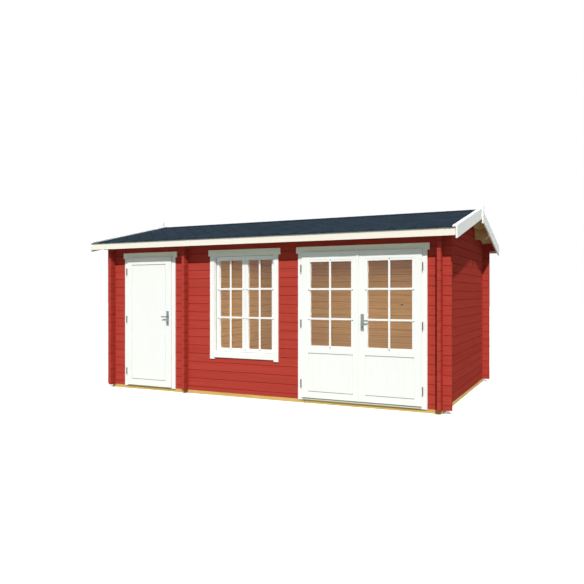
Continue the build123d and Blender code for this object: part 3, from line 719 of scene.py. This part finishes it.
def screws(name, places, out, finish):
    """Painted screw heads in a board of the cabin, almost flush."""
    bm = bmesh.new()
    for place in places:
        screw_head(bm, place, out, 0.004, HEAD_STANDS)
    piece(name, bm, finish, "cabin")


def casing_screws(name, node, foot, finish):
    """Heads in pairs up the side boards and along the head board."""
    low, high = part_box(node)
    levels = [foot + 0.09 + (1.80 - foot) * share for share in (0.0, 0.25, 0.5, 0.75, 1.0)]
    places = []
    for middle in (low.x + EAR + SIDE_BOARD / 2, high.x - EAR - SIDE_BOARD / 2):
        places += [(x, z) for z in levels for x in (middle - 0.018, middle + 0.018)]
    count = max(2, round((high.x - low.x) / 0.45))
    for number in range(count):
        x = low.x + 0.06 + number * (high.x - low.x - 0.12) / (count - 1)
        places += [(x, high.z - 0.022), (x, high.z - 0.060)]
    screws(name, [(x, low.y + HEAD_SUNK, z) for x, z in places], (0, -1, 0), finish)


def keyhole(bm, place, out):
    """The end of a profile cylinder: a round plug above a narrower foot, with a slot for the key."""
    centre = Vector(place)
    bmesh.ops.create_cone(bm, cap_ends=True, segments=32, radius1=0.0085, radius2=0.0080, depth=0.004,
                          matrix=Matrix.Translation(centre) @ turned(out))
    squared(bm, centre + Vector((-0.005, -0.0015, -0.024)), centre + Vector((0.005, 0.0015, 0.0)), 0.0006)
    slot = Vector((0.0008, 0.0024, 0.004))
    squared(bm, centre - slot, centre + slot)


def softened(*names):
    """Takes the sharp edges off carried-over parts."""
    for name in names:
        part = NODES[name]
        weld = part.modifiers.new("weld", "WELD")
        weld.merge_threshold = 0.00002
        flat = part.modifiers.new("flat", "DECIMATE")
        flat.decimate_type = "DISSOLVE"
        flat.angle_limit = math.radians(1)
        round_over = part.modifiers.new("arris", "BEVEL")
        round_over.width = ARRIS
        round_over.segments = 2
        round_over.limit_method = "ANGLE"
        round_over.angle_limit = math.radians(40)


# Finishes
long_logs = log_wall_finish("painted_long_logs", "X", LONG_MIDDLE, LONG_SEAM)
gable_logs = log_wall_finish("painted_gable_logs", "Y", GABLE_MIDDLE, CROSS_SEAM)
partition_logs = log_wall_finish("painted_partition_logs", "Y", PARTITION_MIDDLE, CROSS_SEAM)
roof_pine = wood_finish("pine_roof_boards", "Y", BOARD_COVER, ROOF_PINE, ROOF_PINE_DARK)
floor_pine = wood_finish("pine_floor_boards", "X", BOARD_COVER)
purlin_pine = wood_finish("pine_purlins", "X", 0.3, ROOF_PINE, ROOF_PINE_DARK)
long_treated = wood_finish("treated_long_beams", "X", 0.5, TREATED, TREATED_DARK, BEAM_JOINT)
cross_treated = wood_finish("treated_cross_beams", "Y", 0.3, TREATED, TREATED_DARK)
upright_trim = paint_finish("white_upright_trim", "Z", WHITE_PAINT, WHITE_WORN, HEAD_FOOT)
rake_trim = paint_finish("white_rake_trim", "Y", WHITE_PAINT, WHITE_WORN)
fascia_paint = paint_finish("cream_fascia", "X", CREAM_PAINT, CREAM_WORN)
leaf_paint = paint_finish("white_leaf_paint", "Z", WHITE_PAINT, WHITE_WORN)
bar_paint = paint_finish("white_bar_paint", "Z", WHITE_PAINT, WHITE_WORN)
shingle = shingle_finish()
pane = glass_finish()
hinge_metal = metal_finish("zinc_hinges", ZINC, ZINC_DARK, 0.40)
# black for the painted shadow strip under the window casing's feet
foot_shadow_black = paint_finish("black_painted_foot_shadow", "X", BITUMEN_AND_SHADE_BLACK, SEAL_AND_SHADE_DARK)
# the seals' grey, also painting in the shade of gaps and grooves
seal_shade_paint = paint_finish("grey_seals_and_painted_shade", "X", SEAL_AND_SHADE_GREY, SEAL_AND_SHADE_DARK)
frame_trim = paint_finish("white_door_frames", "Z", WHITE_PAINT, WHITE_WORN, foot=DARKER_FOOT_HEIGHT)
handle_metal = metal_finish("grey_handle_metal", STEEL_PALE, STEEL_DARK, 0.28)
dark_metal = metal_finish("dark_lock_metal", STEEL_DARK, STEEL_DARK, 0.35)
clip_steel = paint_finish("blackened_clips", "Z", BLACKENED, STEEL_DARK)
screw_paint = paint_finish("painted_screw_heads", "X", WHITE_WORN, WHITE_PAINT)
cream_screws = paint_finish("cream_screw_heads", "X", CREAM_WORN, CREAM_PAINT)

# The first words that are in a part's name give its finish
FINISH_OF = {
    "hinges": hinge_metal, "front_wall": long_logs, "back_wall": long_logs, "gable_wall": gable_logs,
    "partition_wall": partition_logs, "purlin": purlin_pine, "long_beams": long_treated,
    "cross_beams": cross_treated, "casing": upright_trim, "window_frame": upright_trim,
    "door_frame": frame_trim, "window_sashes": upright_trim, "barge_boards": rake_trim,
    "rake_caps": rake_trim, "finials": leaf_paint, "eave_fascias": fascia_paint, "leaf": leaf_paint,
    "cover_strip": leaf_paint, "glass": pane, "lock_plates": handle_metal, "lever": handle_metal,
    "roof_boards": roof_pine, "shingles": shingle, "ridge_cap": shingle, "floor": floor_pine,
}
for node_name, node in NODES.items():
    node.data.materials.clear()
    node.data.materials.append(next(finish for words, finish in FINISH_OF.items() if words in node_name))

# Roof and floors
roof_boards("front_roof_boarding", -1, "front_roof_boards", roof_pine)
roof_boards("back_roof_boarding", 1, "back_roof_boards", roof_pine)
shingle_courses("front_shingle_courses", -1, "front_shingles", shingle, FRONT_SEED)
shingle_courses("back_shingle_courses", 1, "back_shingles", shingle, BACK_SEED)
ridge_shingles(shingle, RIDGE_SEED)
floor_boards("main_room_floorboards", "main_room_floor", "double_door_frame", floor_pine)
floor_boards("store_room_floorboards", "store_room_floor", "single_door_frame", floor_pine)

# Double door
for body in ("double_door_left", "double_door_right"):
    leaf_low, leaf_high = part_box(f"{body}_leaf")
    low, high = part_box(f"{body}_glass")
    bar_back = leaf_low.y + DOOR_BAR_SUNK
    ends = glazing_bars(f"{body}_bars", low, high, bar_back, DOOR_BAR_LEVELS, body, bar_paint)
    bar_clips(f"{body}_bar_clips", bar_ends(*ends, 0.020), bar_back, body, clip_steel)
    field = (low.x - BEAD_WIDE, high.x + BEAD_WIDE)
    panel_boards(f"{body}_panel_boards", field, DOOR_FIELD_Z, leaf_low.y, body, leaf_paint)
    inner_beads(f"{body}_mouldings", low, high, leaf_high.y, body, leaf_paint)
    groove_shade_strips(f"{body}_panel_shade_strips", field, DOOR_FIELD_Z, (leaf_low.y, leaf_high.y), body, seal_shade_paint)
    head_seal_and_shade(f"{body}_edge_seal_and_shade", leaf_low, leaf_high, body, seal_shade_paint)

low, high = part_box("double_door_left_leaf")
bm = bmesh.new()
squared(bm, (high.x, low.y + 0.006, low.z + 0.004), (high.x + 0.004, low.y + 0.026, high.z - 0.004), 0.001)
piece("double_door_meeting_seal", bm, leaf_paint, "double_door_left")

# Single door
low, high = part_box("single_door_leaf")
field = (low.x + SINGLE_STILES[0], high.x - SINGLE_STILES[1])
groove_shade_strips("single_door_panel_shade_strips", field, SINGLE_FIELD_Z, (low.y, high.y), "single_door", seal_shade_paint)
head_seal_and_shade("single_door_edge_seal_and_shade", low, high, "single_door", seal_shade_paint)

# Locks: keyholes and screws on both faces
for door, body in (("single_door", "single_door"), ("double_door", "double_door_right")):
    low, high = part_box(f"{door}_lock_plates")
    middle = (low.x + high.x) / 2
    bm = bmesh.new()
    heads = bmesh.new()
    for face, out in ((low.y, -1), (high.y, 1)):
        keyhole(bm, (middle, face, LOCK_Z - KEY_DROP), (0, out, 0))
        for z in (low.z + 0.010, high.z - 0.010):
            screw_head(heads, (middle, face, z), (0, out, 0), 0.0032, 0.0012)
    piece(f"{door}_keyholes", bm, dark_metal, body)
    piece(f"{door}_plate_screws", heads, handle_metal, body)

# Window: bars, clips and mouldings
low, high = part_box("window_glass")
sash_low, sash_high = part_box("window_sashes")
clip_places = []
for side, start, end in (("left", low.x, WINDOW_MEETING - MEETING_HALF),
                         ("right", WINDOW_MEETING + MEETING_HALF, high.x)):
    pane_low, pane_high = Vector((start, low.y, low.z)), Vector((end, high.y, high.z))
    ends = glazing_bars(f"window_{side}_bars", pane_low + WINDOW_BAR_SHIFT, pane_high + WINDOW_BAR_SHIFT,
                        sash_low.y, WINDOW_BAR_LEVELS, "cabin", bar_paint)
    clip_places += bar_ends(*ends, 0.006, at_head=False)
    inner_beads(f"window_{side}_mouldings", pane_low, pane_high, sash_high.y, "cabin", upright_trim)
clip_places.append((WINDOW_MEETING, low.z - 0.018, True))
bar_clips("window_bar_clips", clip_places, sash_low.y, "cabin", clip_steel)

# Window: seals round the sashes and between them, whose dark grey paints in the shade of the gaps
bm = bmesh.new()
inset = 0.006
strip_frame(bm, (WINDOW_CLEAR_X[0] + inset, WINDOW_CLEAR_Z[0] + inset),
            (WINDOW_CLEAR_X[1] - inset, WINDOW_CLEAR_Z[1] - inset), 0.005,
            (sash_low.y - 0.002, sash_low.y + 0.0005))
squared(bm, (WINDOW_MEETING - 0.0013, sash_low.y + 0.001, sash_low.z),
        (WINDOW_MEETING + 0.0013, sash_low.y + 0.008, sash_high.z))
piece("window_seals_and_shade", bm, seal_shade_paint, "cabin")

# Window: a black strip of painted shadow between the wall and the feet of the casing's boards
low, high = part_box("window_casing")
bm = bmesh.new()
for start, end, foot in ((low.x + EAR, WINDOW_INSIDE[0], WINDOW_CASING_FOOT),
                         (WINDOW_INSIDE[0], WINDOW_INSIDE[1], APRON_FOOT),
                         (WINDOW_INSIDE[1], high.x - EAR, WINDOW_CASING_FOOT)):
    squared(bm, (start + 0.001, high.y - 0.004, foot - 0.004), (end - 0.001, high.y - 0.0002, foot + 0.0003))
piece("window_casing_foot_shadow", bm, foot_shadow_black, "cabin")

# Screws in the casings, the fascias and the barge boards
casing_screws("single_door_casing_screws", "single_door_casing", DOOR_CASING_FOOT, screw_paint)
casing_screws("double_door_casing_screws", "double_door_casing", DOOR_CASING_FOOT, screw_paint)
casing_screws("window_casing_screws", "window_casing", WINDOW_CASING_FOOT, screw_paint)
low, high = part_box("eave_fascias")
for side, face, out in (("front", low.y + HEAD_SUNK, -1), ("back", high.y - HEAD_SUNK, 1)):
    places = [(x, face, z) for x in FASCIA_SCREWS for z in FASCIA_SCREW_ROWS]
    screws(f"{side}_fascia_screws", places, (0, out, 0), cream_screws)
low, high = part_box("front_barge_boards")
for side, face, out in (("left", low.x + HEAD_SUNK, -1), ("right", high.x - HEAD_SUNK, 1)):
    places = [(face, y, high.z - SLOPE * abs(y) - drop) for y in BARGE_SCREWS for drop in BARGE_SCREW_DROPS]
    screws(f"{side}_barge_screws", places, (out, 0, 0), screw_paint)

softened("single_door_casing", "double_door_casing", "window_casing", "double_door_cover_strip",
         "eave_fascias", "front_barge_boards", "back_barge_boards", "rake_caps", "finials")


def in_scene(name, data):
    """Puts a mesh, a lamp or a camera into the scene."""
    made = bpy.data.objects.new(name, data)
    bpy.context.scene.collection.objects.link(made)
    return made


def pale_floor():
    """White where it is seen directly, and darker in the light that it sends up."""
    floor = Finish("pale_floor")
    shade = floor.mix(floor.seen_directly(), FLOOR_BOUNCE, FLOOR_SEEN)
    path = floor.node("ShaderNodeLightPath", {})
    glow = floor.math("MULTIPLY", path.outputs["Is Camera Ray"], FLOOR_GLOW)
    floor.feed(floor.shader.inputs["Emission Color"], WHITE)
    floor.feed(floor.shader.inputs["Emission Strength"], glow)
    return floor.finish(shade, 1.0, specular=0.0)


def studio_floor():
    bm = bmesh.new()
    bmesh.ops.create_grid(bm, x_segments=1, y_segments=1, size=60.0)
    mesh = bpy.data.meshes.new("studio_floor")
    bm.to_mesh(mesh)
    bm.free()
    mesh.materials.append(pale_floor())
    in_scene("studio_floor", mesh)


def sky():
    """White where it is seen directly, and a dimmer, cooler light on the cabin."""
    world = bpy.data.worlds.new("studio")
    bpy.context.scene.world = world
    world.use_nodes = True
    air = Nodes(world.node_tree)
    seen = air.seen_directly()
    background = air.tree.nodes["Background"]
    air.feed(background.inputs["Strength"], air.between(seen, 0.0, 1.0, SKY_LEVEL, 1.0))
    air.feed(background.inputs["Color"], air.mix(seen, SKY_TINT, WHITE))


def sun(name, travel, strength, angle, colour=(1, 1, 1)):
    lamp = bpy.data.lights.new(name, "SUN")
    lamp.energy = strength
    lamp.angle = math.radians(angle)
    lamp.color = colour
    made = in_scene(name, lamp)
    made.rotation_mode = "QUATERNION"
    made.rotation_quaternion = Vector(travel).to_track_quat("-Z", "Y")


def room_lamp():
    """A soft lamp under the roof, over the main room, which no camera, mirror or pane shows."""
    lamp = bpy.data.lights.new("room_light", "AREA")
    lamp.energy = ROOM_LAMP_POWER
    lamp.shape = "RECTANGLE"
    lamp.size, lamp.size_y = ROOM_LAMP_SIZE
    room = in_scene("room_light", lamp)
    room.location = ROOM_LAMP_PLACE
    room.visible_camera = False
    room.visible_glossy = False
    room.visible_transmission = False


def standing_camera():
    camera = bpy.data.cameras.new("camera")
    camera.lens = CAMERA_LENS
    camera.sensor_width = 36
    camera.shift_y = CAMERA_SHIFT
    camera.clip_end = 200
    holder = in_scene("camera", camera)
    holder.location = CAMERA_PLACE
    holder.rotation_euler = (math.radians(90), 0, CAMERA_TURN)
    bpy.context.scene.camera = holder


# Floor, light and camera
studio_floor()
sky()
sun("key", KEY_TRAVEL, KEY_STRENGTH, 1.5, KEY_COLOUR)
sun("back_fill", FILL_TRAVEL, FILL_STRENGTH, 20.0)
room_lamp()
standing_camera()
bpy.context.scene.view_settings.view_transform = "Standard"
